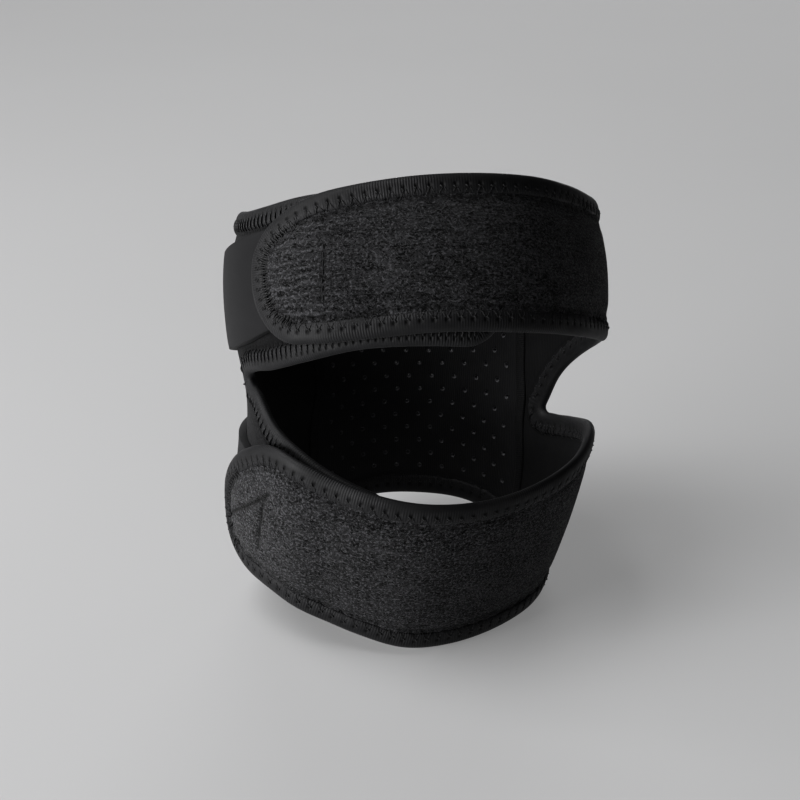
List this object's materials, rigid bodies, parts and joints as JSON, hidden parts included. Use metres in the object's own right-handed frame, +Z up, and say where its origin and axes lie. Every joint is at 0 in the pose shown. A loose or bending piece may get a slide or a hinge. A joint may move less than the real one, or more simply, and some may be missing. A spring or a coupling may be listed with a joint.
{
  "type": "knee stabilizer",
  "caption": "Black wrap-round knee brace with an open kneecap, perforated back panel, bound edges and wide straps that cross the front and fasten on side wings.",
  "frame": {"origin": "on the floor, under the middle of the brace's box", "axes": "+Z up along the shin, -Y the front with the open kneecap, +X the side where the straps start"},
  "size_m": [0.1255, 0.1432, 0.1489],
  "materials": {
    "strap_cloth": "brushed black loop cloth laminated on foam",
    "wing_cloth": "smooth black knit laminated on foam",
    "back_cloth": "perforated black knit laminated on foam",
    "band_cloth": "smooth matt black knit",
    "tape": "ribbed black binding tape with black thread"
  },
  "bodies": {
    "root": {"strap_panel": "strap_cloth", "wing_panel": "wing_cloth", "back_panel": "back_cloth", "fastening_band_upper": "band_cloth", "fastening_band_lower": "band_cloth", "strap_binding": "tape", "wing_binding": "tape", "back_binding_bottom": "tape", "back_binding_top": "tape"}
  },
  "joints": []
}
